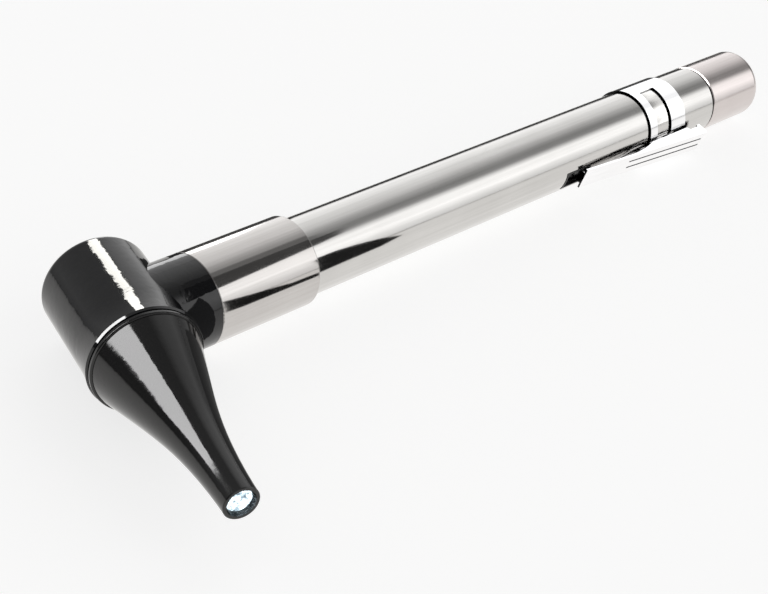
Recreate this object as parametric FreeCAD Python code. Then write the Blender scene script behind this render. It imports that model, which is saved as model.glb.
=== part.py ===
import FreeCAD, Part
import math
import os
from FreeCAD import Placement, Rotation, Vector

# A pen-light otoscope. The handle lies along +X, from the head to the tail cap.
# The optical axis crosses the handle axis at the origin and lies in the XY plane:
# the speculum points to -Y and leans away from the handle, the lens looks to +Y.
# Millimetres throughout. "station" is a distance along the optical axis, positive
# towards the lens; "azimuth" is an angle about the handle, from -Y towards -Z.

# Cutting shapes and overlaps run this far past the faces they meet.
OVERRUN = 1.0
# Two radii closer than this are the same edge.
RADIUS_MATCH = 0.05

# ---- handle ----
BARREL_RADIUS = 6.35
BARREL_BORE = 5.95
BARREL_START = 21.8
CAP_JOINT = 132.84
CAP_GAP = 0.45
CAP_CHAMFER = 0.15
TAIL_END = 148.1
SLEEVE_RADIUS = 7.32
SLEEVE_BORE = 6.37
NECK_END = 12.16
SLEEVE_END = 31.19
SHEET_GAP = 0.1
EDGE_BREAK = 0.25

# ---- head ----
HEAD_LEAN = 15.0
HEAD_RADIUS = 8.33
HEAD_LIP_RADIUS = 8.7
HEAD_FRONT = -7.77
HEAD_FLARE_START = -2.8
HEAD_BACK = 11.95
HEAD_BACK_ROUND = 1.2
COLLAR_BORE = 8.02
COLLAR_BORE_END = -1.6
PARTITION_BACK = -0.4
CAVITY_RADIUS = 7.3
REAR_WALL_FRONT = 8.0
RECESS_FLOOR = 9.3
RECESS_RADIUS = 7.0
GATE_START = -12.0
GATE_SWEEP = 134.0
SOCKET_OUTER = 6.75
SOCKET_INNER = 6.1
SOCKET_FRONT = -6.6
SPIGOT_RADIUS = 6.33
SPIGOT_END = 21.5
NECK_BORE = 5.62
NECK_BORE_START = 9.8
LAMP_PASSAGE_RADIUS = 1.75
LAMP_OFFSET = -1.6

# ---- viewing channel ----
SIGHT_RADIUS = 3.4
SIGHT_OUTER = 4.2
SIGHT_FRONT = -2.95
TUBE_FIT = 0.02

# ---- speculum ----
COLLAR_RADIUS = 7.92
COLLAR_INNER = 7.0
COLLAR_BACK = -2.2
FLANGE_BACK = -8.02
FLANGE_RADIUS = 8.5
FLANGE_FRONT = -8.8
TAPER_START_RADIUS = 8.17
TIP_STATION = -39.44
TIP_RADIUS = 2.63
TIP_BORE = 2.1
SPECULUM_WALL = 0.75
TAPER_POINTS = [(6.53, -14.6), (5.17, -19.75), (4.08, -24.6), (3.16, -30.85)]
RIB_COUNT = 14
RIB_GAP_WIDTH = 1.1
RIB_GAP_DEPTH = 0.32

# ---- light cone ----
CONE_FLANGE_RADIUS = 6.05
CONE_FLANGE_BACK = -3.0
CONE_FLANGE_FRONT = -6.2
CONE_TIP = -38.7
CONE_OUTLINE = [(4.9, -6.2), (2.75, -24.6), (2.25, -30.85), (1.82, -38.7)]
CONE_BORE_BACK = 3.2
CONE_BORE_TIP = 1.25
FOOT_INNER = 4.5
FOOT_OUTER = 5.8
FOOT_HALF_WIDTH = 1.5
FOOT_TOP = 1.5
PRISM_SLOPE = 45.0

# ---- lens group ----
LENS_PIVOT = 5.75
PIVOT_ANGLE = 18.0
LENS_FRAME_RADIUS = 5.2
LENS_FRAME_FRONT = 9.42
LENS_FRAME_BACK = 11.7
LENS_APERTURE = 3.6
LENS_SEAT_RADIUS = 4.05
LENS_SEAT_FRONT = 10.1
LENS_RADIUS = 4.0
LENS_OPTIC = 3.4
LENS_EDGE = 0.7
LENS_SAG = 0.5
RETAINER_INNER = 3.5
EAR_RADIUS = 1.25
EAR_BACK = 10.45
EAR_RELIEF = 1.32
PIVOT_RADIUS = 0.75
PIVOT_HOLE = 0.8
SCREW_HEAD_RADIUS = 1.15
SCREW_TIP = 8.1
WASHER_THICKNESS = 0.15
TAB_ANGLE = 105.0
TAB_REACH = 7.8
TAB_WIDTH = 2.4
TAB_FRONT = 10.3

# ---- lamp ----
LAMP_RADIUS = 1.5
LAMP_TIP = 7.4
LAMP_FLANGE_RADIUS = 1.9
LAMP_FLANGE_START = 12.2
BOARD_START = 13.0
BOARD_END = 14.0
BOARD_RADIUS = 5.3
CARRIER_START = 10.0
CARRIER_RADIUS = 5.58
PLUG_START = 15.0
PLUG_END = 30.4
PLUG_RADIUS = 5.2
PLUG_HOLE = 1.3
PLUG_POCKET_RADIUS = 2.4
PLUG_POCKET_END = 18.0
PIN_RADIUS = 1.25
PIN_COLLAR_RADIUS = 2.2
PIN_HEAD_RADIUS = 2.8
PIN_FRONT = 17.3
PIN_BACK = 31.0
RESISTOR_LENGTH = 1.6
RESISTOR_WIDTH = 0.8
RESISTOR_HEIGHT = 0.5
RESISTOR_INSET = 0.5

# ---- cells and contacts ----
CELL_RADIUS = 5.2
CELL_LENGTH = 44.5
CELL_BUTTON_RADIUS = 1.9
CELL_BUTTON = 1.0
CELL_GAP = 0.05
LINER_OUTER = 5.9
LINER_INNER = 5.62
LINER_START = 22.2
LINER_END = 123.5
STRIP_OUTER = 5.52
STRIP_INNER = 5.3
STRIP_START = 13.2
STRIP_END = 96.4
STRIP_HALF_ANGLE = 12.0

# ---- switch window ----
CLIP_AZIMUTH = 14.0
WINDOW_START = 90.3
WINDOW_END = 96.7
WINDOW_HALF_ANGLE = 17.0
GROMMET_WALL = 0.45
GROMMET_WALL_ANGLE = 3.8
GROMMET_FIT_ANGLE = 0.25
GROMMET_INNER = 5.68
GROMMET_OUTER = 6.4

# ---- pocket clip ----
BAND_START = 113.3
BAND_END = 123.6
BAND_RADIUS = 6.7
SLOT_START = 115.3
SLOT_END = 119.4
SLOT_AZIMUTH = -86.0
SLOT_SWEEP = 84.0
CLIP_SHEET = 0.35
ARM_HALF_WIDTH = 2.1
ARM_FOOT = 94.4
ARM_FOOT_HEIGHT = 7.2
ARM_REAR = 127.0
ARM_REAR_HEIGHT = 9.63
ARM_CORNER = 0.8
CHEEK_EDGE = 6.95
CHEEK_START = 106.0
CHANNEL_START = 104.0
REAR_WALL_EDGE = 7.3
LIP_DEPTH = 6.05
LIP_HALF_WIDTH = 1.2
HINGE_X = 118.5
HINGE_HEIGHT = 7.6
HINGE_BOSS = 0.45
HINGE_HOLE = 0.5
EAR_INNER = 1.3
EAR_OUTER = 1.7
CLIP_EAR_RADIUS = 0.75
ARM_GROOVE_OFFSET = 0.72
ARM_GROOVE_WIDTH = 0.3
ARM_GROOVE_DEPTH = 0.14
ARM_GROOVE_END = 125.8

# ---- tail cap ----
CAP_SPIGOT_START = 124.3
CAP_SPIGOT_RADIUS = 5.88
CAP_BORE = 4.7
CAP_BORE_END = 137.0
CAP_END_ROUND = 1.6
THREAD_PITCH = 1.0
THREAD_LEAD_IN = 0.25
THREAD_TURNS = 6
THREAD_DEPTH = 0.28
SEAL_STATION = 131.7
SEAL_WIRE = 0.4
SEAL_RADIUS = 5.52
SEAL_GROOVE_FLOOR = 5.08
SEAL_GROOVE_WIDTH = 1.0

# ---- springs ----
LAMP_SPRING_RADIUS = 1.55
LAMP_SPRING_WIRE = 0.2
LAMP_SPRING_TURNS = 3
TAIL_SPRING_RADIUS = 3.9
TAIL_SPRING_WIRE = 0.35
TAIL_SPRING_TURNS = 6
WIRE_SIDES = 12

LEAN = math.radians(HEAD_LEAN)
OPTICAL = Vector(math.sin(LEAN), math.cos(LEAN), 0)
ACROSS = Vector(math.cos(LEAN), -math.sin(LEAN), 0)
# Head pieces are drawn with z along the optical axis and x towards the handle.
HEAD_PLACE = Placement(Vector(), Rotation(ACROSS, Vector(0, 0, -1), OPTICAL, "ZXY"))


def in_head(shape, turn=0.0):
    """Place a shape drawn along the optical axis, turned about that axis first."""
    placed = shape.copy()
    placed.rotate(Vector(), Vector(0, 0, 1), turn)
    placed.Placement = HEAD_PLACE.multiply(placed.Placement)
    return placed


def about_handle(shape, azimuth):
    """Turn a shape drawn with x along the handle and y outwards to an azimuth."""
    angle = math.radians(azimuth)
    outward = Vector(0, -math.cos(angle), -math.sin(angle))
    sideways = Vector(0, math.sin(angle), -math.cos(angle))
    placed = shape.copy()
    turn = Placement(Vector(), Rotation(Vector(1, 0, 0), outward, sideways, "ZXY"))
    placed.Placement = turn.multiply(placed.Placement)
    return placed


def rod(start, end, radius, y=0.0, z=0.0):
    """A cylinder along the handle."""
    return Part.makeCylinder(radius, end - start, Vector(start, y, z), Vector(1, 0, 0))


def tube(start, end, outer, inner):
    return rod(start, end, outer).cut(rod(start - OVERRUN, end + OVERRUN, inner))


def post(start, end, radius, x=0.0, y=0.0):
    """A cylinder along z, for pieces drawn in the head's own directions."""
    return Part.makeCylinder(radius, end - start, Vector(x, y, start), Vector(0, 0, 1))


def block(x0, x1, y0, y1, z0, z1):
    return Part.makeBox(x1 - x0, y1 - y0, z1 - z0, Vector(x0, y0, z0))


def sector(start, end, radius, first, sweep):
    """A wedge of a cylinder about the handle, from one azimuth through a sweep."""
    angle = math.radians(first)
    outward = Vector(0, -math.cos(angle), -math.sin(angle))
    sideways = Vector(0, math.sin(angle), -math.cos(angle))
    wedge = Part.makeCylinder(radius, end - start, Vector(), Vector(0, 0, 1), sweep)
    turn = Rotation(outward, sideways, Vector(1, 0, 0), "ZXY")
    wedge.Placement = Placement(Vector(start, 0, 0), turn)
    return wedge


def curved_plate(start, end, outer, inner, azimuth, half_angle):
    first = azimuth - half_angle
    plate = sector(start, end, outer, first, 2 * half_angle)
    return plate.cut(rod(start - OVERRUN, end + OVERRUN, inner))


def polyline(points):
    """Edges through (radius, station) points, in the plane y = 0."""
    corners = [Vector(r, 0, s) for r, s in points]
    return [Part.makeLine(a, b) for a, b in zip(corners, corners[1:])]


def spline(points):
    curve = Part.BSplineCurve()
    curve.interpolate([Vector(r, 0, s) for r, s in points])
    return curve.toShape()


def arc(first, middle, last):
    points = [Vector(r, 0, s) for r, s in (first, middle, last)]
    return Part.Arc(*points).toShape()


def turned(edges):
    """Revolve a closed outline about z."""
    face = Part.Face(Part.Wire(Part.__sortEdges__(edges)))
    return face.revolve(Vector(), Vector(0, 0, 1), 360)


def turned_polygon(points):
    return turned(polyline(points + points[:1]))


def along_handle(shape):
    """Lay a shape turned about z along the handle."""
    placed = shape.copy()
    lay = Placement(Vector(), Rotation(Vector(0, 1, 0), 90))
    placed.Placement = lay.multiply(placed.Placement)
    return placed


def wire_section(radius, wire, run):
    """A many-sided outline for spring wire, square to the wire's run, on the x axis."""
    outward = Vector(1, 0, 0)
    sideways = run.cross(outward).normalize()
    corners = []
    for index in range(WIRE_SIDES):
        angle = 2 * math.pi * index / WIRE_SIDES
        corners.append(outward * (radius + wire * math.cos(angle)) + sideways * (wire * math.sin(angle)))
    return Part.makePolygon(corners + corners[:1])


def coil(start, end, radius, wire, turns):
    """A compression spring along the handle, open at both ends."""
    height = end - start - 2 * wire
    pitch = height / turns
    helix = Part.makeHelix(pitch, height, radius)
    section = wire_section(radius, wire, Vector(0, 2 * math.pi * radius, pitch))
    spring = Part.Wire(helix.Edges).makePipeShell([section], True, True)
    spring = Part.Solid(spring) if spring.ShapeType == "Shell" else spring
    spring = along_handle(spring)
    spring.translate(Vector(start + wire, 0, 0))
    return spring


def quarter_round(radius, station, size, direction):
    """Arc from a side wall to an end face that lies in the given direction."""
    centre_r = radius - size
    centre_s = station - direction * size
    diagonal = size * math.sqrt(0.5)
    middle = (centre_r + diagonal, centre_s + direction * diagonal)
    return arc((radius, centre_s), middle, (centre_r, station))


def head_outline():
    """The head's outside, flared at the lip by an arc tangent to the wall."""
    rise = HEAD_LIP_RADIUS - HEAD_RADIUS
    run = HEAD_FLARE_START - (HEAD_FRONT + EDGE_BREAK)
    flare = (run * run + rise * rise) / (2 * rise)
    half = math.asin(run / flare) / 2
    middle_r = HEAD_RADIUS + flare * (1 - math.cos(half))
    middle_s = HEAD_FLARE_START - flare * math.sin(half)
    lip = (HEAD_LIP_RADIUS, HEAD_FRONT + EDGE_BREAK)
    inner_lip = (HEAD_LIP_RADIUS - EDGE_BREAK, HEAD_FRONT)
    shoulder = (HEAD_RADIUS, HEAD_BACK - HEAD_BACK_ROUND)
    flat = (HEAD_RADIUS - HEAD_BACK_ROUND, HEAD_BACK)
    edges = polyline([(0, HEAD_FRONT), inner_lip, lip])
    edges.append(arc(lip, (middle_r, middle_s), (HEAD_RADIUS, HEAD_FLARE_START)))
    edges += polyline([(HEAD_RADIUS, HEAD_FLARE_START), shoulder])
    edges.append(quarter_round(HEAD_RADIUS, HEAD_BACK, HEAD_BACK_ROUND, 1))
    edges += polyline([flat, (0, HEAD_BACK), (0, HEAD_FRONT)])
    return edges


def head_shell():
    shell = in_head(turned(head_outline()))
    shell = shell.fuse(rod(0, NECK_END, SLEEVE_RADIUS))
    shell = shell.fuse(rod(0, SPIGOT_END, SPIGOT_RADIUS))
    recess = post(RECESS_FLOOR, HEAD_BACK + OVERRUN, RECESS_RADIUS)
    gate = Part.makeCylinder(HEAD_RADIUS + 2 * OVERRUN, HEAD_BACK, Vector(0, 0, RECESS_FLOOR),
                             Vector(0, 0, 1), GATE_SWEEP)
    gate.rotate(Vector(), Vector(0, 0, 1), GATE_START)
    cuts = [
        in_head(post(HEAD_FRONT - OVERRUN, COLLAR_BORE_END, COLLAR_BORE)),
        in_head(post(PARTITION_BACK, REAR_WALL_FRONT, CAVITY_RADIUS)),
        in_head(post(COLLAR_BORE_END - OVERRUN, PARTITION_BACK + OVERRUN, SIGHT_OUTER + SHEET_GAP)),
        in_head(post(REAR_WALL_FRONT - OVERRUN, RECESS_FLOOR + OVERRUN, SIGHT_OUTER + TUBE_FIT)),
        in_head(recess),
        in_head(gate, PIVOT_ANGLE),
        in_head(post(SCREW_TIP - SHEET_GAP, RECESS_FLOOR + OVERRUN, PIVOT_RADIUS, LENS_PIVOT),
                PIVOT_ANGLE),
        in_head(block(FOOT_INNER - SHEET_GAP, FOOT_OUTER + SHEET_GAP,
                      -FOOT_HALF_WIDTH - SHEET_GAP, FOOT_HALF_WIDTH + SHEET_GAP,
                      COLLAR_BORE_END - OVERRUN, PARTITION_BACK + OVERRUN)),
        rod(NECK_BORE_START, SPIGOT_END + OVERRUN, NECK_BORE),
        rod(FOOT_OUTER, NECK_BORE_START + OVERRUN, LAMP_PASSAGE_RADIUS, LAMP_OFFSET),
    ]
    for cut in cuts:
        shell = shell.cut(cut)
    socket = post(SOCKET_FRONT, COLLAR_BORE_END + SHEET_GAP, SOCKET_OUTER)
    socket = socket.cut(post(SOCKET_FRONT - OVERRUN, COLLAR_BORE_END + OVERRUN, SOCKET_INNER))
    return shell.fuse(in_head(socket))


def sight_tube():
    outer = post(SIGHT_FRONT, RECESS_FLOOR, SIGHT_OUTER)
    return in_head(outer.cut(post(SIGHT_FRONT - OVERRUN, RECESS_FLOOR + OVERRUN, SIGHT_RADIUS)))


def light_cone():
    """Clear moulding: a hollow cone that carries the light, with a prism foot."""
    outline = [(CONE_BORE_BACK, CONE_FLANGE_BACK), (CONE_FLANGE_RADIUS, CONE_FLANGE_BACK),
               (CONE_FLANGE_RADIUS, CONE_FLANGE_FRONT)]
    cone = turned_polygon(outline + CONE_OUTLINE + [(CONE_BORE_TIP, CONE_TIP)])
    foot = block(FOOT_INNER, FOOT_OUTER, -FOOT_HALF_WIDTH, FOOT_HALF_WIDTH,
                 CONE_FLANGE_BACK - OVERRUN, FOOT_TOP)
    slope = block(-FOOT_OUTER, 0, -FOOT_OUTER, FOOT_OUTER, 0, FOOT_OUTER)
    slope.rotate(Vector(), Vector(0, 1, 0), -PRISM_SLOPE)
    slope.translate(Vector(FOOT_OUTER, 0, FOOT_TOP))
    return in_head(cone.fuse(foot.cut(slope)).removeSplitter())


def speculum_outside():
    taper = [(TAPER_START_RADIUS, FLANGE_FRONT)] + TAPER_POINTS
    taper.append((TIP_RADIUS, TIP_STATION + EDGE_BREAK / 2))
    return spline(taper)


def speculum_inside():
    taper = [(r - SPECULUM_WALL, s) for r, s in TAPER_POINTS]
    return spline([(COLLAR_INNER, FLANGE_FRONT)] + taper + [(TIP_BORE, TIP_STATION)])


def speculum():
    """One black moulding: ribbed collar, flange bead and trumpet-shaped taper."""
    bead = EDGE_BREAK
    tip_corner = (TIP_RADIUS - EDGE_BREAK / 2, TIP_STATION)
    edges = polyline([(COLLAR_INNER, FLANGE_FRONT), (COLLAR_INNER, COLLAR_BACK),
                      (COLLAR_RADIUS - EDGE_BREAK, COLLAR_BACK),
                      (COLLAR_RADIUS, COLLAR_BACK - EDGE_BREAK),
                      (COLLAR_RADIUS, FLANGE_BACK), (FLANGE_RADIUS - bead, FLANGE_BACK)])
    edges.append(quarter_round(FLANGE_RADIUS, FLANGE_BACK, bead, 1))
    edges += polyline([(FLANGE_RADIUS, FLANGE_BACK - bead),
                       (FLANGE_RADIUS, FLANGE_FRONT + bead)])
    edges.append(quarter_round(FLANGE_RADIUS, FLANGE_FRONT, bead, -1))
    edges += polyline([(FLANGE_RADIUS - bead, FLANGE_FRONT),
                       (TAPER_START_RADIUS, FLANGE_FRONT)])
    edges.append(speculum_outside())
    edges += polyline([(TIP_RADIUS, TIP_STATION + EDGE_BREAK / 2), tip_corner,
                       (TIP_BORE, TIP_STATION)])
    edges.append(speculum_inside())
    body = turned(edges)
    for index in range(RIB_COUNT):
        gap = block(COLLAR_RADIUS - RIB_GAP_DEPTH, COLLAR_RADIUS + OVERRUN,
                    -RIB_GAP_WIDTH / 2, RIB_GAP_WIDTH / 2,
                    FLANGE_BACK + EDGE_BREAK, COLLAR_BACK + OVERRUN)
        gap.rotate(Vector(), Vector(0, 0, 1), index * 360.0 / RIB_COUNT)
        body = body.cut(gap)
    return in_head(body)


def lens_frame():
    """Swinging lens holder, notched round its pivot screw, with a thumb tab."""
    disc = post(LENS_FRAME_FRONT, LENS_FRAME_BACK, LENS_FRAME_RADIUS)
    disc = disc.makeChamfer(EDGE_BREAK, [disc.Edges[0], disc.Edges[2]])
    ear = post(LENS_FRAME_FRONT, EAR_BACK, EAR_RADIUS, LENS_PIVOT)
    tab = block(LENS_FRAME_RADIUS - OVERRUN, TAB_REACH, -TAB_WIDTH / 2, TAB_WIDTH / 2,
                TAB_FRONT, LENS_FRAME_BACK - EDGE_BREAK)
    tab.rotate(Vector(), Vector(0, 0, 1), TAB_ANGLE)
    frame = disc.fuse(ear).fuse(tab)
    frame = frame.cut(post(EAR_BACK, HEAD_BACK, EAR_RELIEF, LENS_PIVOT))
    frame = frame.cut(post(LENS_FRAME_FRONT - OVERRUN, EAR_BACK + OVERRUN, PIVOT_HOLE, LENS_PIVOT))
    frame = frame.cut(post(LENS_FRAME_FRONT - OVERRUN, LENS_FRAME_BACK + OVERRUN, LENS_APERTURE))
    frame = frame.cut(post(LENS_SEAT_FRONT, LENS_FRAME_BACK + OVERRUN, LENS_SEAT_RADIUS))
    return in_head(frame.removeSplitter(), PIVOT_ANGLE)


def lens():
    """Biconvex magnifier with a plain cylindrical edge."""
    front = LENS_SEAT_FRONT + TUBE_FIT
    back = front + LENS_EDGE
    ball = (LENS_OPTIC ** 2 + LENS_SAG ** 2) / (2 * LENS_SAG)
    half = math.asin(LENS_OPTIC / ball) / 2
    inset = ball * (1 - math.cos(half))
    middle = ball * math.sin(half)
    front_pole = (0, front - LENS_SAG)
    back_pole = (0, back + LENS_SAG)
    edges = [arc(front_pole, (middle, front_pole[1] + inset), (LENS_OPTIC, front)),
             arc((LENS_OPTIC, back), (middle, back_pole[1] - inset), back_pole)]
    edges += polyline([(LENS_OPTIC, front), (LENS_RADIUS, front), (LENS_RADIUS, back),
                       (LENS_OPTIC, back)])
    edges += polyline([back_pole, front_pole])
    return in_head(turned(edges))


def lens_retainer():
    front = LENS_SEAT_FRONT + LENS_EDGE + 2 * TUBE_FIT
    ring = post(front, LENS_FRAME_BACK - SHEET_GAP, LENS_RADIUS)
    return in_head(ring.cut(post(front - OVERRUN, LENS_FRAME_BACK + OVERRUN, RETAINER_INNER)))


def pivot_washer():
    front = EAR_BACK + SHEET_GAP / 2
    ring = post(front, front + WASHER_THICKNESS, SCREW_HEAD_RADIUS, LENS_PIVOT)
    return in_head(ring.cut(post(front - OVERRUN, front + OVERRUN, PIVOT_HOLE, LENS_PIVOT)), PIVOT_ANGLE)


def pivot_screw():
    under_head = EAR_BACK + SHEET_GAP / 2 + WASHER_THICKNESS
    top = LENS_FRAME_BACK
    head = post(under_head, top, SCREW_HEAD_RADIUS, LENS_PIVOT)
    head = head.makeChamfer(EDGE_BREAK / 2, [head.Edges[0]])
    driver_slot = block(LENS_PIVOT - SCREW_HEAD_RADIUS, LENS_PIVOT + SCREW_HEAD_RADIUS,
                        -SHEET_GAP, SHEET_GAP, top - EDGE_BREAK, top + OVERRUN)
    shank = post(SCREW_TIP, under_head + SHEET_GAP, PIVOT_RADIUS, LENS_PIVOT)
    return in_head(head.cut(driver_slot).fuse(shank).removeSplitter(), PIVOT_ANGLE)


def lamp_carrier():
    carrier = rod(CARRIER_START, BOARD_START, CARRIER_RADIUS)
    carrier = carrier.cut(rod(CARRIER_START - OVERRUN, BOARD_START + OVERRUN,
                              LAMP_RADIUS + CELL_GAP, LAMP_OFFSET))
    return carrier.cut(rod(LAMP_FLANGE_START - CELL_GAP, BOARD_START + OVERRUN,
                           LAMP_FLANGE_RADIUS + CELL_GAP, LAMP_OFFSET))


def lamp():
    """Domed light-emitting diode, aimed at the prism foot."""
    centre = LAMP_TIP + LAMP_RADIUS
    dome = Part.makeSphere(LAMP_RADIUS, Vector(centre, LAMP_OFFSET, 0))
    body = rod(centre, LAMP_FLANGE_START, LAMP_RADIUS, LAMP_OFFSET)
    flange = rod(LAMP_FLANGE_START, BOARD_START, LAMP_FLANGE_RADIUS, LAMP_OFFSET)
    return dome.fuse(body).fuse(flange).removeSplitter()


def lamp_board():
    return rod(BOARD_START, BOARD_END, BOARD_RADIUS)


def lamp_resistor():
    inner = LAMP_SPRING_RADIUS + LAMP_SPRING_WIRE + RESISTOR_INSET
    return block(BOARD_END, BOARD_END + RESISTOR_HEIGHT, inner, inner + RESISTOR_WIDTH,
                 -RESISTOR_LENGTH / 2, RESISTOR_LENGTH / 2)


def contact_plug():
    plug = rod(PLUG_START, PLUG_END, PLUG_RADIUS)
    plug = plug.cut(rod(PLUG_START - OVERRUN, PLUG_END + OVERRUN, PLUG_HOLE))
    return plug.cut(rod(PLUG_START - OVERRUN, PLUG_POCKET_END, PLUG_POCKET_RADIUS))


def contact_pin():
    pin = rod(PIN_FRONT, PIN_BACK, PIN_RADIUS)
    collar = rod(PIN_FRONT, PLUG_POCKET_END - SHEET_GAP, PIN_COLLAR_RADIUS)
    head = rod(PLUG_END + CELL_GAP, PIN_BACK, PIN_HEAD_RADIUS)
    return pin.fuse(collar).fuse(head).removeSplitter()


def lamp_spring():
    return coil(BOARD_END + CELL_GAP, PIN_FRONT - CELL_GAP, LAMP_SPRING_RADIUS,
                LAMP_SPRING_WIRE, LAMP_SPRING_TURNS)


def cell(button_tip):
    body = rod(button_tip + CELL_BUTTON, button_tip + CELL_LENGTH, CELL_RADIUS)
    body = body.makeFillet(EDGE_BREAK * 2, [body.Edges[0], body.Edges[2]])
    return body.fuse(rod(button_tip, button_tip + CELL_BUTTON + OVERRUN, CELL_BUTTON_RADIUS))


def cell_front_tip():
    return PIN_BACK + CELL_GAP


def cell_rear_tip():
    return cell_front_tip() + CELL_LENGTH + CELL_GAP


def window_cut(start, end, half_angle):
    return sector(start, end, SLEEVE_RADIUS, CLIP_AZIMUTH - half_angle, 2 * half_angle)


def barrel():
    wall = tube(BARREL_START, CAP_JOINT, BARREL_RADIUS, BARREL_BORE)
    rim = [edge for edge in wall.Edges
           if edge.Curve.TypeId == "Part::GeomCircle"
           and abs(edge.Curve.Radius - BARREL_RADIUS) < RADIUS_MATCH]
    wall = wall.makeChamfer(EDGE_BREAK / 2, rim)
    return wall.cut(window_cut(WINDOW_START, WINDOW_END, WINDOW_HALF_ANGLE))


def battery_liner():
    wall = tube(LINER_START, LINER_END, LINER_OUTER, LINER_INNER)
    return wall.cut(window_cut(WINDOW_START, WINDOW_END, WINDOW_HALF_ANGLE))


def contact_strip():
    return curved_plate(STRIP_START, STRIP_END, STRIP_OUTER, STRIP_INNER,
                        CLIP_AZIMUTH, STRIP_HALF_ANGLE)


def window_grommet():
    """Insulating frame that lines the switch window."""
    frame = curved_plate(WINDOW_START + TUBE_FIT, WINDOW_END - TUBE_FIT, GROMMET_OUTER,
                         GROMMET_INNER, CLIP_AZIMUTH, WINDOW_HALF_ANGLE - GROMMET_FIT_ANGLE)
    return frame.cut(window_cut(WINDOW_START + GROMMET_WALL, WINDOW_END - GROMMET_WALL,
                                WINDOW_HALF_ANGLE - GROMMET_WALL_ANGLE))


def sleeve():
    wall = tube(NECK_END, SLEEVE_END, SLEEVE_RADIUS, SLEEVE_BORE)
    rims = [edge for edge in wall.Edges
            if edge.Curve.TypeId == "Part::GeomCircle"
            and abs(edge.Curve.Radius - SLEEVE_RADIUS) < RADIUS_MATCH]
    return wall.makeFillet(EDGE_BREAK, rims)


def clip_band():
    """Ring round the barrel, slotted on top, with two ears that hold the arm."""
    band = tube(BAND_START, BAND_END, BAND_RADIUS, BARREL_RADIUS)
    band = band.cut(sector(SLOT_START, SLOT_END, SLEEVE_RADIUS, SLOT_AZIMUTH, SLOT_SWEEP))
    for side in (-1, 1):
        low, high = sorted((side * EAR_INNER, side * EAR_OUTER))
        ear = block(HINGE_X - CLIP_EAR_RADIUS, HINGE_X + CLIP_EAR_RADIUS,
                    BARREL_RADIUS - EDGE_BREAK, HINGE_HEIGHT, low, high)
        top = Part.makeCylinder(CLIP_EAR_RADIUS, high - low,
                                Vector(HINGE_X, HINGE_HEIGHT, low), Vector(0, 0, 1))
        hole = Part.makeCylinder(HINGE_HOLE, high - low + 2 * OVERRUN,
                                 Vector(HINGE_X, HINGE_HEIGHT, low - OVERRUN), Vector(0, 0, 1))
        band = band.fuse(about_handle(ear.fuse(top).cut(hole), CLIP_AZIMUTH))
    return band.cut(rod(BAND_START - OVERRUN, BAND_END + OVERRUN, BARREL_RADIUS)).removeSplitter()


def side_view(outline, half_width):
    """Extrude a closed outline of edges, drawn in x and outward height."""
    face = Part.Face(Part.Wire(outline))
    face.translate(Vector(0, 0, -half_width))
    return face.extrude(Vector(0, 0, 2 * half_width))


def arm_height(x):
    """Height of the arm's outer face above the handle axis."""
    slope = (ARM_REAR_HEIGHT - ARM_FOOT_HEIGHT) / (ARM_REAR - ARM_FOOT)
    return ARM_FOOT_HEIGHT + slope * (x - ARM_FOOT)


def arm_side():
    """The arm seen from the side: sloping web, cheeks and closed rear end."""
    round_off = ARM_CORNER * (1 - math.sqrt(0.5))
    foot = Vector(ARM_FOOT, ARM_FOOT_HEIGHT, 0)
    rear_top = Vector(ARM_REAR - ARM_CORNER, arm_height(ARM_REAR - ARM_CORNER), 0)
    rear_mid = Vector(ARM_REAR - round_off, ARM_REAR_HEIGHT - round_off, 0)
    rear_side = Vector(ARM_REAR, ARM_REAR_HEIGHT - ARM_CORNER, 0)
    rear_low = Vector(ARM_REAR, REAR_WALL_EDGE, 0)
    wall_inner = Vector(ARM_REAR - ARM_CORNER, REAR_WALL_EDGE, 0)
    gap_rear = Vector(ARM_REAR - ARM_CORNER, REAR_WALL_EDGE + CLIP_SHEET, 0)
    gap_front = Vector(BAND_END + CLIP_SHEET, REAR_WALL_EDGE + CLIP_SHEET, 0)
    cheek_rear = Vector(BAND_END, CHEEK_EDGE, 0)
    cheek_front = Vector(BAND_START, CHEEK_EDGE, 0)
    sweep_end = Vector(CHEEK_START, arm_height(CHEEK_START) - CLIP_SHEET, 0)
    sweep_mid_x = (CHEEK_START + BAND_START) / 2
    sweep_mid = Vector(sweep_mid_x, arm_height(sweep_mid_x) - 2 * CLIP_SHEET, 0)
    foot_inner = Vector(ARM_FOOT, ARM_FOOT_HEIGHT - CLIP_SHEET, 0)
    straight = [wall_inner, gap_rear, gap_front, cheek_rear, cheek_front]
    edges = [Part.makeLine(foot, rear_top)]
    edges.append(Part.Arc(rear_top, rear_mid, rear_side).toShape())
    edges.append(Part.makeLine(rear_side, rear_low))
    edges.append(Part.makeLine(rear_low, wall_inner))
    edges += [Part.makeLine(a, b) for a, b in zip(straight, straight[1:])]
    edges.append(Part.Arc(cheek_front, sweep_mid, sweep_end).toShape())
    edges.append(Part.makeLine(sweep_end, foot_inner))
    edges.append(Part.makeLine(foot_inner, foot))
    return edges


def arm_channel():
    """The hollow between the cheeks, under the web."""
    rear = ARM_REAR - CLIP_SHEET
    top_front = Vector(CHANNEL_START, arm_height(CHANNEL_START) - CLIP_SHEET, 0)
    top_rear = Vector(rear, arm_height(rear) - CLIP_SHEET, 0)
    low_rear = Vector(rear, BARREL_RADIUS, 0)
    low_front = Vector(CHANNEL_START, BARREL_RADIUS, 0)
    corners = [top_front, top_rear, low_rear, low_front, top_front]
    return [Part.makeLine(a, b) for a, b in zip(corners, corners[1:])]


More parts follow.
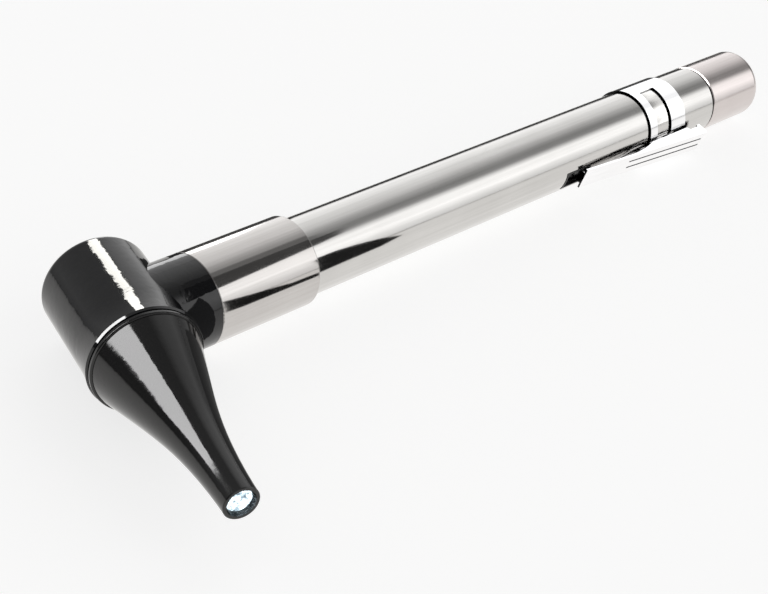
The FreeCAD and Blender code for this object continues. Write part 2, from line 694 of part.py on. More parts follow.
def arm_groove(offset):
    """A lengthwise pressed line in the arm's outer face."""
    low = [Vector(x, arm_height(x) - ARM_GROOVE_DEPTH, 0) for x in (CHEEK_START, ARM_GROOVE_END)]
    high = [Vector(x, arm_height(x) + OVERRUN, 0) for x in (ARM_GROOVE_END, CHEEK_START)]
    corners = low + high + low[:1]
    outline = [Part.makeLine(a, b) for a, b in zip(corners, corners[1:])]
    groove = side_view(outline, ARM_GROOVE_WIDTH / 2)
    groove.translate(Vector(0, 0, offset))
    return groove


def clip_arm():
    arm = side_view(arm_side(), ARM_HALF_WIDTH)
    arm = arm.cut(side_view(arm_channel(), ARM_HALF_WIDTH - CLIP_SHEET))
    for offset in (-ARM_GROOVE_OFFSET, ARM_GROOVE_OFFSET):
        arm = arm.cut(arm_groove(offset))
    lip = block(ARM_FOOT, ARM_FOOT + CLIP_SHEET, LIP_DEPTH, ARM_FOOT_HEIGHT,
                -LIP_HALF_WIDTH, LIP_HALF_WIDTH)
    arm = arm.fuse(lip)
    inner_face = ARM_HALF_WIDTH - CLIP_SHEET
    for side in (-1, 1):
        low, high = sorted((side * (EAR_INNER + SHEET_GAP / 2), side * (inner_face + SHEET_GAP)))
        boss = Part.makeCylinder(HINGE_BOSS, high - low,
                                 Vector(HINGE_X, HINGE_HEIGHT, low), Vector(0, 0, 1))
        arm = arm.fuse(boss)
    return about_handle(arm.removeSplitter(), CLIP_AZIMUTH)


def tail_cap():
    """Screw cap: barrel-sized end, spigot grooved for its thread and seal, blind spring bore."""
    shoulder = CAP_JOINT + CAP_GAP
    edges = polyline([(0, CAP_BORE_END), (CAP_BORE, CAP_BORE_END),
                      (CAP_BORE, CAP_SPIGOT_START), (CAP_SPIGOT_RADIUS, CAP_SPIGOT_START),
                      (CAP_SPIGOT_RADIUS, shoulder), (BARREL_RADIUS - CAP_CHAMFER, shoulder),
                      (BARREL_RADIUS, shoulder + CAP_CHAMFER),
                      (BARREL_RADIUS, TAIL_END - CAP_END_ROUND)])
    edges.append(quarter_round(BARREL_RADIUS, TAIL_END, CAP_END_ROUND, 1))
    edges += polyline([(BARREL_RADIUS - CAP_END_ROUND, TAIL_END), (0, TAIL_END),
                       (0, CAP_BORE_END)])
    cap = along_handle(turned(edges))
    for turn in range(THREAD_TURNS):
        start = CAP_SPIGOT_START + THREAD_LEAD_IN + THREAD_PITCH * turn
        cap = cap.cut(tube(start, start + THREAD_PITCH / 2, SLEEVE_RADIUS,
                           CAP_SPIGOT_RADIUS - THREAD_DEPTH))
    half = SEAL_GROOVE_WIDTH / 2
    return cap.cut(tube(SEAL_STATION - half, SEAL_STATION + half, CAP_SPIGOT_RADIUS + SHEET_GAP,
                        SEAL_GROOVE_FLOOR))


def tail_seal():
    return Part.makeTorus(SEAL_RADIUS, SEAL_WIRE, Vector(SEAL_STATION, 0, 0),
                          Vector(1, 0, 0))


def tail_spring():
    cells_end = cell_rear_tip() + CELL_LENGTH
    return coil(cells_end + SHEET_GAP, CAP_BORE_END - CELL_GAP, TAIL_SPRING_RADIUS,
                TAIL_SPRING_WIRE, TAIL_SPRING_TURNS)


def all_parts():
    return {
        "head_shell": head_shell(),
        "sight_tube": sight_tube(),
        "light_cone": light_cone(),
        "speculum": speculum(),
        "lens_frame": lens_frame(),
        "lens": lens(),
        "lens_retainer": lens_retainer(),
        "pivot_screw": pivot_screw(),
        "pivot_washer": pivot_washer(),
        "lamp_carrier": lamp_carrier(),
        "lamp": lamp(),
        "lamp_board": lamp_board(),
        "lamp_resistor": lamp_resistor(),
        "lamp_spring": lamp_spring(),
        "contact_plug": contact_plug(),
        "contact_pin": contact_pin(),
        "sleeve": sleeve(),
        "barrel": barrel(),
        "battery_liner": battery_liner(),
        "contact_strip": contact_strip(),
        "window_grommet": window_grommet(),
        "battery_front": cell(cell_front_tip()),
        "battery_rear": cell(cell_rear_tip()),
        "clip_band": clip_band(),
        "clip_arm": clip_arm(),
        "tail_cap": tail_cap(),
        "tail_seal": tail_seal(),
        "tail_spring": tail_spring(),
    }


def main():
    os.makedirs("parts", exist_ok=True)
    for name, shape in all_parts().items():
        solids = shape.Solids
        print(name, "solids", len(solids), "valid", shape.isValid(), "mm3", round(shape.Volume, 2))
        solid = solids[0] if len(solids) == 1 else shape
        solid.exportStep(os.path.join("parts", name + ".step"))


main()
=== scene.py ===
import math
import bpy
from mathutils import Matrix, Vector

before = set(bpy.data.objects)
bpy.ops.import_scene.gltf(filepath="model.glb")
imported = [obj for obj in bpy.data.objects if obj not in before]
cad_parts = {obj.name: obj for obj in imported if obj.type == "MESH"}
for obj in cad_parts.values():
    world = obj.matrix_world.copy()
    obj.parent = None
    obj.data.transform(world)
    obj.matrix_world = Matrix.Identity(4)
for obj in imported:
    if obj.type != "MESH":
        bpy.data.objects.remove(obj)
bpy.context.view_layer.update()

MM = 0.001
ALONG_HANDLE = (1.0, 0.0, 0.0)
TOWARDS_HEAD = (-1.0, 0.0, 0.0)
OPTICAL_LEAN = math.radians(15.0)
TOWARDS_LENS = (math.sin(OPTICAL_LEAN), math.cos(OPTICAL_LEAN), 0.0)

# ---- camera: a long lens held above the head end, on the clip's side; clips in metres ----
AIM = Vector((27.65, -23.3, 8.46)) * MM
CAMERA_DISTANCE = 238.5 * MM
CAMERA_AZIMUTH = math.radians(-49.30)
CAMERA_ELEVATION = math.radians(34.27)
CAMERA_ROLL = math.radians(9.30)
LENS_MM = 78.74
SENSOR_MM = 36.0
NEAR_CLIP = 0.01
FAR_CLIP = 20.0


# ------------------------------------------------------------------ materials
BLACK = (0.0, 0.0, 0.0)
WHITE = (1.0, 1.0, 1.0)
# Painted shade: the black of the shade lines beside the band, of faces towards the head and of the brass in
# the window.
SHADE_BLACK = (0.012, 0.012, 0.012)
BAND_SHADE_LINES = ((112.85, 113.5), (118.95, 119.6))    # stations of the painted shade lines beside the band's slot
SHADE_LINE_CORE = 0.7                                     # this share of a shade line's half width is fully dark
# Painted shade: base colours darken towards this black in crevices, within this reach of another surface.
CREVICE_REACH_MM = 0.7
CREVICE_SHADE = (0.02, 0.02, 0.02)
WINDOW_SHADE_FROM = 86.0 * MM                          # the contact strip's end that shows in the window, painted black as the shade inside it
WINDOW_SHADE_FULL = 88.0 * MM
GLOW_START = -24.0 * MM                             # the light cone, by station towards the lens
GLOW_FULL = -36.0 * MM
CONE_GLOW = 0.8
LAMP_GLOW_START = -11.0 * MM                        # the lamp, by station towards the head
LAMP_GLOW_FULL = -7.5 * MM
LAMP_GLOW = (0.2, 2.5)                              # weakest and strongest
WIPE_SHARE = 0.6                                    # wipe marks in a metal's colour, beside its streaks
WIPE_DULLING = 0.035                                # roughness that wipe marks add
DUST_DULLING = 0.12                                 # roughness that dust adds
HAZE_LIGHTER = 1.03
SCRATCH_DEPTH_MM = 0.0008


class Recipe:
    """A new material's node tree, with short ways to add and join nodes."""

    def __init__(self, name):
        self.name = name
        self.material = bpy.data.materials.new(name)
        self.material.use_nodes = True
        self.tree = self.material.node_tree
        self.shader = next(n for n in self.tree.nodes if n.type == "BSDF_PRINCIPLED")
        self.place = self.add("ShaderNodeTexCoord").outputs["Object"]

    def add(self, kind, **settings):
        node = self.tree.nodes.new(kind)
        for key, value in settings.items():
            setattr(node, key, value)
        return node

    def join(self, source, target):
        self.tree.links.new(source, target)

    def set(self, **values):
        """Plain values for the shader's sockets, with _ for each space in a name."""
        for key, value in values.items():
            self.shader.inputs[key.replace("_", " ")].default_value = value

    def stretched(self, scale):
        """Object coordinates scaled on each axis, for grain that runs one way."""
        mapping = self.add("ShaderNodeMapping", vector_type="TEXTURE")
        mapping.inputs["Scale"].default_value = tuple(1.0 / s for s in scale)
        self.join(self.place, mapping.inputs["Vector"])
        return mapping.outputs["Vector"]

    def noise(self, size_mm, detail=3.0, vector=None, roughness=0.55, distortion=0.0):
        node = self.add("ShaderNodeTexNoise")
        node.inputs["Scale"].default_value = 1.0 / (size_mm * MM)
        node.inputs["Detail"].default_value = detail
        node.inputs["Roughness"].default_value = roughness
        node.inputs["Distortion"].default_value = distortion
        self.join(vector or self.place, node.inputs["Vector"])
        return node.outputs["Fac"]

    def between(self, source, low, high, start=0.3, end=0.7):
        """Maps start..end of a source to low..high, held at the ends."""
        node = self.add("ShaderNodeMapRange")
        for key, value in (("From Min", start), ("From Max", end), ("To Min", low), ("To Max", high)):
            node.inputs[key].default_value = value
        self.join(source, node.inputs["Value"])
        return node.outputs["Result"]

    def share(self, source, start=0.3, end=0.7):
        """How far a source is on its way from start to end, held to 0..1."""
        if start < end:
            return self.between(source, 0.0, 1.0, start, end)
        return self.between(source, 1.0, 0.0, end, start)

    def mix(self, share, first, second):
        """A colour between two colours or sockets."""
        node = self.add("ShaderNodeMix", data_type="RGBA")
        for socket, value in (("A", first), ("B", second)):
            target = next(i for i in node.inputs if i.name == socket and i.type == "RGBA")
            if isinstance(value, tuple):
                target.default_value = (*value, 1.0)
            else:
                self.join(value, target)
        factor = next(i for i in node.inputs if i.name == "Factor" and i.type == "VALUE")
        self.join(share, factor)
        return next(o for o in node.outputs if o.type == "RGBA")

    def math(self, operation, first, second=None):
        """One step of arithmetic on numbers or sockets."""
        node = self.add("ShaderNodeMath", operation=operation)
        for i, value in enumerate((first, second)):
            if isinstance(value, (int, float)):
                node.inputs[i].default_value = value
            elif value is not None:
                self.join(value, node.inputs[i])
        return node.outputs[0]

    def station(self, axis):
        """Distance in metres along a direction through the origin."""
        node = self.add("ShaderNodeVectorMath", operation="DOT_PRODUCT")
        self.join(self.place, node.inputs[0])
        node.inputs[1].default_value = axis
        return node.outputs["Value"]

    def bump(self, height, depth_mm, strength=1.0, below=None):
        """Relief on the surface, over another relief if one is given."""
        node = self.add("ShaderNodeBump")
        node.inputs["Strength"].default_value = strength
        node.inputs["Distance"].default_value = depth_mm * MM
        self.join(height, node.inputs["Height"])
        if below is not None:
            self.join(below, node.inputs["Normal"])
        self.join(node.outputs["Normal"], self.shader.inputs["Normal"])
        return node.outputs["Normal"]

    def colour(self, socket):
        self.join(socket, self.shader.inputs["Base Color"])

    def roughness(self, socket):
        self.join(socket, self.shader.inputs["Roughness"])

    def with_crevice_shade(self, colour):
        """A colour darkened by painted shade where another surface is close by."""
        nearby = self.add("ShaderNodeAmbientOcclusion", samples=8)
        nearby.inputs["Distance"].default_value = CREVICE_REACH_MM * MM
        return self.mix(self.share(nearby.outputs["AO"], start=0.45, end=0.85), CREVICE_SHADE, colour)

    def seam(self, colour, start, end):
        """A colour with a ring of painted shade between two stations along the handle, in millimetres."""
        middle = (start + end) / 2 * MM
        half = (end - start) / 2 * MM
        off = self.math("ABSOLUTE", self.math("SUBTRACT", self.station(ALONG_HANDLE), middle))
        return self.mix(self.share(off, half, half * SHADE_LINE_CORE), colour, SHADE_BLACK)

    def shaded_head_faces(self, colour):
        """A colour with painted shade on faces towards the head, such as a sheet's cut edges."""
        facing = self.add("ShaderNodeSeparateXYZ")
        self.join(self.add("ShaderNodeTexCoord").outputs["Normal"], facing.inputs[0])
        return self.mix(self.share(facing.outputs["X"], start=-0.6, end=-0.9), colour, SHADE_BLACK)


def steel(name, light, dark, smooth, rough, grain, grain_depth=0.004, shade_lines=(), shaded_head_faces=False):
    """Brushed metal: fine streaks along one way and cloudy wipe marks."""
    r = Recipe(name)
    r.set(Metallic=1.0)
    streaks = r.noise(size_mm=1.0, detail=4.0, vector=r.stretched(grain), roughness=0.65)
    wiped = r.noise(size_mm=9.0, detail=2.0)
    both = r.math("ADD", streaks, r.math("MULTIPLY", wiped, WIPE_SHARE))
    finish_and_shade = r.mix(r.share(both, start=0.5, end=1.1), dark, light)
    # Painted shade: dark lines beside the band, dark faces towards the head and darker crevices.
    for start, end in shade_lines:
        finish_and_shade = r.seam(finish_and_shade, start, end)
    if shaded_head_faces:
        finish_and_shade = r.shaded_head_faces(finish_and_shade)
    r.colour(r.with_crevice_shade(finish_and_shade))
    polish = r.between(streaks, smooth, rough, start=0.25, end=0.75)
    r.roughness(r.math("ADD", polish, r.between(wiped, 0.0, WIPE_DULLING, start=0.35, end=0.65)))
    r.bump(streaks, grain_depth, strength=0.5)
    return r


def moulded(name, colour, lighter, smooth, rough, ripple_mm=0.0, ripple_depth=0.0, grain_mm=0.35,
            grain_depth=0.0012):
    """Moulded plastic: slow ripples from the mould, fine grain and dust-like rough spots."""
    r = Recipe(name)
    r.set(IOR=1.5)
    grain = r.noise(grain_mm)
    dust = r.noise(size_mm=0.22, detail=2.0, roughness=0.7)
    r.colour(r.mix(r.share(grain), colour, lighter))
    polish = r.between(r.noise(size_mm=4.0, detail=2.0), smooth, rough, start=0.35, end=0.65)
    r.roughness(r.math("ADD", polish, r.between(dust, 0.0, DUST_DULLING, start=0.66, end=0.8)))
    below = None
    if ripple_mm:
        below = r.bump(r.noise(ripple_mm, detail=1.5, distortion=0.6), ripple_depth)
    r.bump(grain, grain_depth, strength=0.6, below=below)
    return r


def clear(name, tint, roughness, ior):
    """Clear moulded plastic or glass with faint surface scratches."""
    r = Recipe(name)
    r.set(IOR=ior, Transmission_Weight=1.0)
    haze = r.noise(size_mm=1.6, detail=4.0)
    hazed = tuple(min(1.0, c * HAZE_LIGHTER) for c in tint)
    r.colour(r.mix(r.share(haze), tint, hazed))
    r.roughness(r.between(haze, roughness * 0.5, roughness * 1.5))
    scratches = r.noise(size_mm=0.25, detail=2.0, vector=r.stretched((1.0, 5.0, 1.0)))
    r.bump(scratches, SCRATCH_DEPTH_MM, strength=0.4)
    return r


def lit_cone():
    """Clear acrylic cone that brightens towards its tip, with a few dark flecks in the glow."""
    tint = (0.93, 0.97, 1.0)
    r = clear("clear_acrylic", tint, roughness=0.06, ior=1.49)
    near_tip = r.share(r.station(TOWARDS_LENS), GLOW_START, GLOW_FULL)
    marks = r.between(r.noise(size_mm=0.9, detail=4.0, roughness=0.7), 0.1, 1.0, start=0.40, end=0.52)
    flecks = r.math("MAXIMUM", marks, r.math("SUBTRACT", 1.0, near_tip))
    glow = r.math("MULTIPLY", r.math("POWER", near_tip, 2.0), flecks)
    r.join(r.math("MULTIPLY", glow, CONE_GLOW), r.shader.inputs["Emission Strength"])
    r.join(r.mix(flecks, (0.30, 0.42, 0.50), (0.80, 0.93, 1.0)), r.shader.inputs["Emission Color"])
    r.colour(r.mix(flecks, (0.10, 0.14, 0.17), tint))
    r.set(Transmission_Weight=0.7)
    return r


def lit_lamp():
    """Clear lamp that glows towards the head."""
    r = clear("lamp_lens", (0.95, 0.97, 1.0), roughness=0.08, ior=1.53)
    glow = r.between(r.station(TOWARDS_HEAD), *LAMP_GLOW, LAMP_GLOW_START, LAMP_GLOW_FULL)
    r.join(glow, r.shader.inputs["Emission Strength"])
    warmth = r.mix(r.noise(size_mm=0.6), (0.80, 0.90, 1.0), (1.0, 0.98, 0.92))
    r.join(warmth, r.shader.inputs["Emission Color"])
    return r


def speckled(name, first, second, size_mm, smooth, rough, depth_mm, metallic=0.0, stretch=(1.0, 1.0, 1.0)):
    """A plain material whose colour, roughness and surface all vary with one grain."""
    r = Recipe(name)
    r.set(Metallic=metallic)
    grain = r.noise(size_mm, detail=4.0, vector=r.stretched(stretch))
    r.colour(r.mix(r.share(grain), first, second))
    r.roughness(r.between(grain, smooth, rough))
    r.bump(grain, depth_mm, strength=0.6)
    return r


def contact_brass():
    """Brass, painted black as shade at the end that shows in the switch window."""
    r = speckled("contact_brass", (0.62, 0.42, 0.16), (0.83, 0.62, 0.28), size_mm=0.7, smooth=0.20,
                 rough=0.38, depth_mm=0.004, metallic=1.0, stretch=(0.2, 1.0, 1.0))
    plain = r.shader.inputs["Base Color"].links[0].from_socket
    window_shade = r.share(r.station(ALONG_HANDLE), WINDOW_SHADE_FROM, WINDOW_SHADE_FULL)
    r.colour(r.mix(window_shade, plain, SHADE_BLACK))
    return r


RECIPES = (
    moulded("gloss_black", (0.0025, 0.0025, 0.003), (0.005, 0.005, 0.0055), smooth=0.035, rough=0.07,
            ripple_mm=1.9, ripple_depth=0.028),
    moulded("speculum_black", (0.0025, 0.0025, 0.0028), (0.0055, 0.0052, 0.005), smooth=0.06, rough=0.10,
            ripple_mm=5.0, ripple_depth=0.012, grain_mm=0.3, grain_depth=0.002),
    speckled("matte_black", (0.016, 0.016, 0.017), (0.026, 0.026, 0.027), size_mm=0.3, smooth=0.42,
             rough=0.62, depth_mm=0.01),
    moulded("lens_frame_black", (0.012, 0.012, 0.013), (0.02, 0.02, 0.021), smooth=0.16, rough=0.26,
            grain_mm=0.25, grain_depth=0.003),
    speckled("grommet_black", (0.004, 0.004, 0.004), (0.01, 0.01, 0.01), size_mm=0.25, smooth=0.35,
             rough=0.6, depth_mm=0.012),
    lit_cone(),
    clear("lens_glass", (0.96, 0.99, 1.0), roughness=0.015, ior=1.52),
    lit_lamp(),
    steel("barrel_steel", (0.65, 0.64, 0.625), (0.57, 0.56, 0.545), smooth=0.07, rough=0.13,
          grain=(0.03, 2.2, 2.2), shade_lines=BAND_SHADE_LINES),
    steel("sleeve_steel", (0.59, 0.57, 0.555), (0.51, 0.49, 0.475), smooth=0.05, rough=0.10,
          grain=(0.03, 2.4, 2.4)),
    steel("cap_steel", (0.68, 0.63, 0.615), (0.59, 0.54, 0.53), smooth=0.12, rough=0.2,
          grain=(0.03, 2.2, 2.2)),
    steel("clip_chrome", (0.97, 0.97, 0.98), (0.90, 0.90, 0.91), smooth=0.04, rough=0.09,
          grain=(0.15, 1.2, 1.2), grain_depth=0.0015, shaded_head_faces=True),
    steel("screw_steel", (0.55, 0.54, 0.53), (0.42, 0.42, 0.41), smooth=0.22, rough=0.38,
          grain=(2.0, 2.0, 2.0)),
    steel("spring_steel", (0.66, 0.66, 0.67), (0.50, 0.50, 0.50), smooth=0.18, rough=0.32,
          grain=(1.5, 3.0, 3.0)),
    contact_brass(),
    speckled("board_green", (0.010, 0.10, 0.035), (0.018, 0.17, 0.065), size_mm=0.5, smooth=0.25,
             rough=0.42, depth_mm=0.004),
    speckled("resistor_black", (0.012, 0.012, 0.012), (0.03, 0.03, 0.03), size_mm=0.1, smooth=0.4,
             rough=0.6, depth_mm=0.003),
    speckled("liner_film", (0.70, 0.69, 0.64), (0.80, 0.79, 0.75), size_mm=1.5, smooth=0.35,
             rough=0.55, depth_mm=0.006),
    speckled("cell_jacket", (0.05, 0.12, 0.25), (0.08, 0.17, 0.33), size_mm=2.0, smooth=0.22,
             rough=0.36, depth_mm=0.008, stretch=(0.3, 1.0, 1.0)),
    speckled("seal_rubber", (0.014, 0.014, 0.014), (0.028, 0.028, 0.028), size_mm=0.2, smooth=0.5,
             rough=0.75, depth_mm=0.01),
)
MATERIALS = {recipe.name: recipe.material for recipe in RECIPES}

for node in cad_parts.values():
    for place in node.material_slots:
        slot_name = place.material.name.split(".")[0]
        place.material = MATERIALS[slot_name]


# ------------------------------------------------------------------ stage, in metres
FLOOR_LOW = Vector((-1.9, 0.0, -8.72)) * MM
FLOOR_HIGH = Vector((148.1, 0.0, -6.37)) * MM
FLOOR_HALF = 2.0
FLOOR_GREYS = ((0.40, 0.40, 0.40), (0.41, 0.41, 0.405))
FLOOR_GLOW = 0.78
REFLECTED_FLOOR_COLOUR = (1.0, 0.99, 0.975)
HANDLE_MIDDLE = (0.07, 0.0, 0.0)
FLOOR_BRIGHT_WITHIN = 0.13
FLOOR_DIM_BEYOND = 0.8
FLOOR_DIM = 0.25
BACKDROP_RADIUS = 3.0
BACKDROP_ROWS = 12
BACKDROP_COLUMNS = 24


def stage_mesh(name, corners, faces):
    """A new mesh object for the stage around the otoscope, linked into the scene."""
    mesh = bpy.data.meshes.new(name)
    mesh.from_pydata(corners, [], faces)
    mesh.update()
    obj = bpy.data.objects.new(name, mesh)
    bpy.context.scene.collection.objects.link(obj)
    return obj


def sheet(name, outline):
    """A flat stage sheet with the given corners, in millimetres."""
    corners = [tuple(Vector(corner) * MM) for corner in outline]
    return stage_mesh(name, corners, [tuple(range(len(corners)))])


def hide_from(obj, *rays):
    """Keeps an object out of the named kinds of ray."""
    for ray in rays:
        setattr(obj, "visible_" + ray, False)


def glowing(name, strength, colour=WHITE, see_through=False):
    """Gives off light; with see_through, what lies behind it is seen as well."""
    material = bpy.data.materials.new(name)
    material.use_nodes = True
    tree = material.node_tree
    tree.nodes.clear()
    light = tree.nodes.new("ShaderNodeEmission")
    light.inputs["Color"].default_value = (*colour, 1.0)
    light.inputs["Strength"].default_value = strength
    out = tree.nodes.new("ShaderNodeOutputMaterial")
    surface = light.outputs[0]
    if see_through:
        both = tree.nodes.new("ShaderNodeAddShader")
        tree.links.new(surface, both.inputs[0])
        tree.links.new(tree.nodes.new("ShaderNodeBsdfTransparent").outputs[0], both.inputs[1])
        surface = both.outputs[0]
    tree.links.new(surface, out.inputs["Surface"])
    return material


def card(name, outline, strength, only, colour=WHITE):
    """A soft light that lights just the named nodes and that the camera never sees."""
    obj = sheet(name, outline)
    obj.data.materials.append(glowing(name, strength, colour, see_through=True))
    hide_from(obj, "camera", "shadow")
    group = bpy.data.collections.new(name + "_lights")
    for node_name in only:
        group.objects.link(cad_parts[node_name])
    obj.light_linking.receiver_collection = group


def flag(name, outline, level):
    """A dark card that only reflections see, to draw a dark edge on bright metal."""
    obj = sheet(name, outline)
    obj.data.materials.append(glowing(name, level))
    hide_from(obj, "camera", "shadow", "diffuse")


def floor_corners():
    """A table top, tilted by under a degree so that the head's lip and the tail both rest on it."""
    slope = (FLOOR_HIGH.z - FLOOR_LOW.z) / (FLOOR_HIGH.x - FLOOR_LOW.x)
    corners = []
    for side_x, side_y in ((-1, -1), (1, -1), (1, 1), (-1, 1)):
        x = side_x * FLOOR_HALF
        corners.append((x, side_y * FLOOR_HALF, FLOOR_LOW.z + slope * (x - FLOOR_LOW.x)))
    return corners


def floor():
    """The pale table that the camera sees and that shadows fall on."""
    obj = stage_mesh("floor", floor_corners(), [(0, 1, 2, 3)])
    r = Recipe("floor_white")
    r.set(Roughness=0.75, Specular_IOR_Level=0.0, Emission_Color=(*WHITE, 1.0), Emission_Strength=FLOOR_GLOW)
    r.colour(r.mix(r.share(r.noise(size_mm=60.0, detail=2.0)), *FLOOR_GREYS))
    obj.data.materials.append(r.material)
    hide_from(obj, "glossy")


def reflected_floor():
    """What polished parts see of the table: bright near the object and dimmer far away."""
    obj = stage_mesh("reflected_floor", floor_corners(), [(0, 1, 2, 3)])
    r = Recipe("reflected_floor")
    away = r.add("ShaderNodeVectorMath", operation="DISTANCE")
    r.join(r.place, away.inputs[0])
    away.inputs[1].default_value = HANDLE_MIDDLE
    level = r.between(away.outputs["Value"], 1.0, FLOOR_DIM, FLOOR_BRIGHT_WITHIN, FLOOR_DIM_BEYOND)
    r.set(Base_Color=(*BLACK, 1.0), Specular_IOR_Level=0.0, Emission_Color=(*REFLECTED_FLOOR_COLOUR, 1.0))
    r.join(level, r.shader.inputs["Emission Strength"])
    obj.data.materials.append(r.material)
    hide_from(obj, "camera", "diffuse", "shadow")


def backdrop():
    """A plain pale shell that only the camera sees, for views near the horizon."""
    corners = []
    for row in range(BACKDROP_ROWS + 1):
        polar = math.pi * row / BACKDROP_ROWS
        for column in range(BACKDROP_COLUMNS):
            turn = 2 * math.pi * column / BACKDROP_COLUMNS
            corners.append((BACKDROP_RADIUS * math.sin(polar) * math.cos(turn),
                            BACKDROP_RADIUS * math.sin(polar) * math.sin(turn),
                            BACKDROP_RADIUS * math.cos(polar)))
    faces = []
    for row in range(BACKDROP_ROWS):
        this_row = row * BACKDROP_COLUMNS
        next_row = this_row + BACKDROP_COLUMNS
        for column in range(BACKDROP_COLUMNS):
            after = (column + 1) % BACKDROP_COLUMNS
            faces.append((this_row + column, this_row + after, next_row + after, next_row + column))
    obj = stage_mesh("backdrop", corners, faces)
    obj.data.materials.append(glowing("backdrop", 1.0))
    hide_from(obj, "diffuse", "glossy", "transmission", "shadow")


floor()
reflected_floor()
backdrop()

# Brightness of the room by the angle about the handle, in degrees up from +Y: dimmer overhead,
# a broad soft window on the camera's side.
ROOM = [(-180, 0.15), (-90, 0.4), (-12, 0.6), (2, 1.1), (10, 1.4), (21, 1.3), (41, 1.12), (52, 1.05),
        (62, 0.97), (72, 0.82), (82, 0.60), (92, 0.44), (102, 0.31), (112, 0.34), (117, 0.5), (123, 1.0),
        (131, 1.5), (153, 1.6), (163, 1.3), (173, 1.1), (180, 0.95)]
ROOM_FULL = 2.0
# How much of that is left by the direction's share along the handle, from the head end to the tail end.
ROOM_ALONG = [(-1.0, 0.1), (-0.70, 0.12), (-0.5, 0.36), (0.28, 0.36), (0.50, 0.9), (0.58, 1.0), (0.82, 1.0),
              (0.92, 0.4), (1.0, 0.3)]


def ramp(tree, source, start, end, stops):
    """Greys by a source that runs from start to end, between (position, level) stops."""
    turn = tree.nodes.new("ShaderNodeMapRange")
    for key, value in (("From Min", start), ("From Max", end), ("To Min", 0.0), ("To Max", 1.0)):
        turn.inputs[key].default_value = value
    tree.links.new(source, turn.inputs["Value"])
    node = tree.nodes.new("ShaderNodeValToRGB")
    tree.links.new(turn.outputs["Result"], node.inputs["Fac"])
    while len(node.color_ramp.elements) < len(stops):
        node.color_ramp.elements.new(0.5)
    for element, (position, level) in zip(node.color_ramp.elements, stops):
        element.position = (position - stops[0][0]) / (stops[-1][0] - stops[0][0])
        element.color = (level, level, level, 1.0)
    return node.outputs["Color"]


def room():
    world = bpy.data.worlds.new("room")
    bpy.context.scene.world = world
    world.use_nodes = True
    tree = world.node_tree
    background = next(n for n in tree.nodes if n.type == "BACKGROUND")
    direction = tree.nodes.new("ShaderNodeSeparateXYZ")
    tree.links.new(tree.nodes.new("ShaderNodeTexCoord").outputs["Generated"], direction.inputs[0])
    angle = tree.nodes.new("ShaderNodeMath")
    angle.operation = "ARCTAN2"
    tree.links.new(direction.outputs["Z"], angle.inputs[0])
    tree.links.new(direction.outputs["Y"], angle.inputs[1])
    about = ramp(tree, angle.outputs[0], -math.pi, math.pi, [(a, level / ROOM_FULL) for a, level in ROOM])
    along = ramp(tree, direction.outputs["X"], -1.0, 1.0, ROOM_ALONG)
    strength = tree.nodes.new("ShaderNodeMath")
    strength.operation = "MULTIPLY"
    strength.inputs[1].default_value = ROOM_FULL
    tree.links.new(along, strength.inputs[0])
    tree.links.new(about, background.inputs["Color"])
    tree.links.new(strength.outputs[0], background.inputs["Strength"])


room()


def level_outline(points, height):
    """Points (x, y) at one height."""
    return [(x, y, height) for x, y in points]


def upright_outline(points, y):
    """Points (x, z) on an upright sheet along the handle."""
    return [(x, y, z) for x, z in points]


def around(points, reach):
    """Points given by station along the handle and angle about it from +Y up, at one distance from it."""
    return [(x, reach * math.cos(math.radians(angle)), reach * math.sin(math.radians(angle)))
            for x, angle in points]


# ---- lights, each for a few nodes: outlines in millimetres ----
CARD_HEIGHT = 150.0
# The head's cream streak: its ragged left side upwards, then its right side back down.
STREAK_LEFT = [(62, 140), (66, 150), (55, 158), (62, 166), (52, 175), (64, 186), (74, 202), (92, 220),
               (104, 250), (118, 290), (124, 340)]
STREAK_RIGHT = [(218, 340), (176, 285), (150, 236), (146, 212), (140, 196), (130, 184), (118, 176),
                (122, 168), (110, 160), (120, 150), (122, 140)]
CREAM = (1.0, 0.985, 0.93)
# The speculum's broad grey streak, which narrows to its tip.
SPECULUM_STREAK = [(-42, 18), (-42, 46), (-50, 62), (-70, 100), (-200, 222), (-277, 222), (-354, 236),
                   (-233, 134), (-240, 104)]
# The bright back edge of the head and sleeve.
BACK_STRIP = [(289, 475, 17), (344, 442, 17), (333, 431, 138), (278, 464, 138)]
# The bright left part of the head's lip.
LIP_LIGHT = [(-79, -110, 150), (-191, -60, 25), (-199, -90, 25), (-87, -140, 150)]
# The bright upper half of the cap's bevel.
JOINT_LIGHT = [(125, 54, 18), (140, 62, 38), (113, -2, 66), (111, -24, 56), (97, -24, 38), (99, -2, 48)]
# The clip's brightness, from a wide sheet above it and beyond the tail.
CLIP_TOP = [(280, 490, 167), (530, 270, 250), (500, -400, 170), (280, -400, 250)]
# The light in the band's slot, by distance from the handle, stations along it and angles about it.
SLOT_LIGHT_REACH = 30.0
SLOT_LIGHT_START = 143
SLOT_LIGHT_END = 148
SLOT_LIGHT_ANGLES = (10, 50, 90, 130, 175)

card("strip_light", level_outline(STREAK_LEFT + STREAK_RIGHT, CARD_HEIGHT), strength=15.0,
     only=("head_shell",), colour=CREAM)
card("overhead_soft", level_outline(SPECULUM_STREAK, CARD_HEIGHT), strength=10.5, only=("speculum",),
     colour=(1.0, 0.995, 1.0))
card("back_strip", BACK_STRIP, strength=2.2, only=("head_shell", "sleeve"))
card("lip_light", LIP_LIGHT, strength=24.0, only=("head_shell",))
card("joint_light", JOINT_LIGHT, strength=7.0, only=("tail_cap",))
card("clip_top", CLIP_TOP, strength=0.65, only=("clip_band", "clip_arm"))

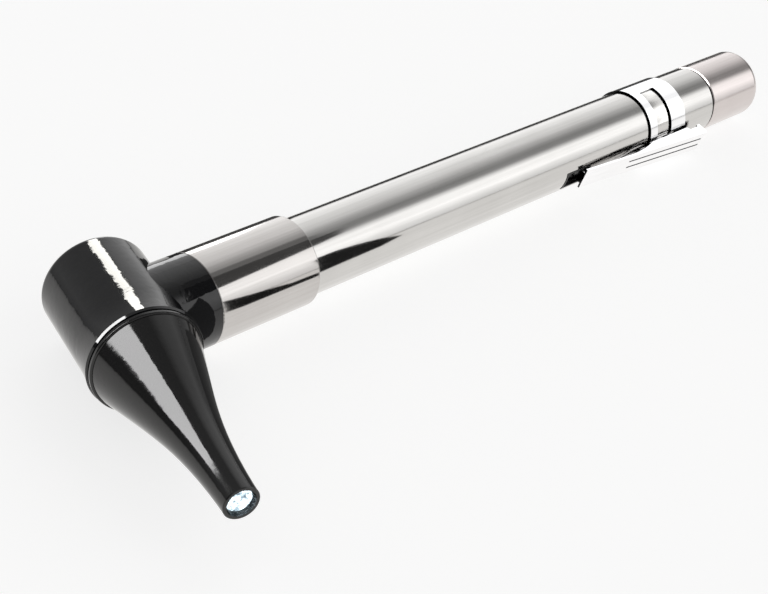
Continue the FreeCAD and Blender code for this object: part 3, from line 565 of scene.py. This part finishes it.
# ---- dark flags: the wedges low on the sleeve and barrel, the handle's outline, and darker bands ----
FRONT_FLAG_Y = -20.0
SLEEVE_WEDGE = [(21.5, 6.6), (25.2, 4.6), (35.2, 0.1), (41.0, -0.4), (41.0, -2.9), (35.2, -2.7), (25.2, -2.3),
                (21.5, -1.5)]
BARREL_WEDGE = [(41.5, 9.2), (47.5, 8.8), (52.0, 6.8), (57.0, 3.2), (61.5, -1.2), (57.0, -3.4), (47.5, -4.0),
                (41.5, -4.6)]
BACK_FLAG_Y = 11.0
BACK_FLAG = [(15.0, 2.4), (15.0, 6.8), (38.0, 6.8), (40.0, 6.0), (110.0, 6.1), (165.0, 7.4), (165.0, 2.4),
             (110.0, 1.6)]
SPECULUM_FLAG = [(12.0, -38.0, -8.4), (12.0, -9.0, -8.4), (12.0, -9.0, 8.5), (12.0, -38.0, 4.5)]
SLEEVE_FLAG_REACH = 60.0
SLEEVE_FLAG = [(40, 108), (80, 108), (80, 121), (66, 129), (40, 137)]
SLEEVE_FLAG_SOFT = [(40, 97), (74, 97), (76, 108), (40, 108)]

flag("sleeve_wedge", upright_outline(SLEEVE_WEDGE, FRONT_FLAG_Y), level=0.015)
flag("barrel_wedge", upright_outline(BARREL_WEDGE, FRONT_FLAG_Y), level=0.015)
flag("back_flag", upright_outline(BACK_FLAG, BACK_FLAG_Y), level=0.06)
flag("speculum_flag", SPECULUM_FLAG, level=0.15)
flag("sleeve_flag", around(SLEEVE_FLAG, SLEEVE_FLAG_REACH), level=0.07)
flag("sleeve_flag_soft", around(SLEEVE_FLAG_SOFT, SLEEVE_FLAG_REACH), level=0.20)

# The slot's light bends about the handle, one flat card for each stretch between two angles.
for first, last in zip(SLOT_LIGHT_ANGLES, SLOT_LIGHT_ANGLES[1:]):
    corners = [(SLOT_LIGHT_START, first), (SLOT_LIGHT_END, first), (SLOT_LIGHT_END, last),
               (SLOT_LIGHT_START, last)]
    card("slot_light_%d" % first, around(corners, SLOT_LIGHT_REACH), strength=0.9, only=("barrel",))


# ------------------------------------------------------------------ camera
def camera():
    """Looks at AIM from CAMERA_DISTANCE away, turned by CAMERA_ROLL about its line of sight."""
    out = Vector((math.sin(CAMERA_AZIMUTH) * math.cos(CAMERA_ELEVATION),
                  -math.cos(CAMERA_AZIMUTH) * math.cos(CAMERA_ELEVATION), math.sin(CAMERA_ELEVATION)))
    level = Vector((0, 0, 1)).cross(out).normalized()
    upright = out.cross(level)
    right = level * math.cos(CAMERA_ROLL) + upright * math.sin(CAMERA_ROLL)
    up = out.cross(right)
    data = bpy.data.cameras.new("camera")
    data.lens = LENS_MM
    data.sensor_width = SENSOR_MM
    data.clip_start = NEAR_CLIP
    data.clip_end = FAR_CLIP
    obj = bpy.data.objects.new("camera", data)
    bpy.context.scene.collection.objects.link(obj)
    turned = Matrix((right, up, out)).transposed().to_4x4()
    obj.matrix_world = Matrix.Translation(AIM + out * CAMERA_DISTANCE) @ turned
    bpy.context.scene.camera = obj


camera()
bpy.context.scene.view_settings.view_transform = "Standard"
